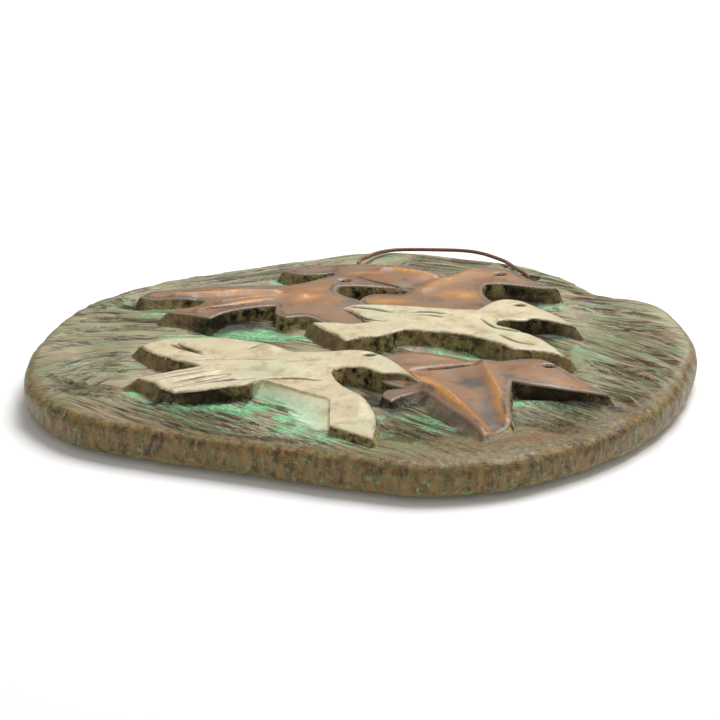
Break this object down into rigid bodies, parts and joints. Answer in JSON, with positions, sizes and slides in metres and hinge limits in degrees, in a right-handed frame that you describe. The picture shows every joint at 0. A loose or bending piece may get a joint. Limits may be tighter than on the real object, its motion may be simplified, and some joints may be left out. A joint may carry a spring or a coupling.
{
  "type": "decorative wall plaque",
  "caption": "Round carved stoneware wall plaque with a flock of flying birds in relief on combed ground, hung by a knotted cord.",
  "frame": {"origin": "middle of the flat back of the slab, where the plaque lies against the wall", "axes": "+Z out of the carved face, away from the wall; +Y towards the edge that hangs uppermost, where the cord is; +X the way the birds fly"},
  "size_m": [0.3961, 0.4016, 0.0322],
  "materials": {
    "glazed_stoneware": "satin glaze, brown and verdigris with ivory and rust brown birds",
    "waxed_cord": "waxed braided cord"
  },
  "bodies": {
    "root": {"plaque": "glazed_stoneware", "hanging_cord": "waxed_cord", "cord_knot_left": "waxed_cord", "cord_knot_right": "waxed_cord"}
  },
  "joints": []
}
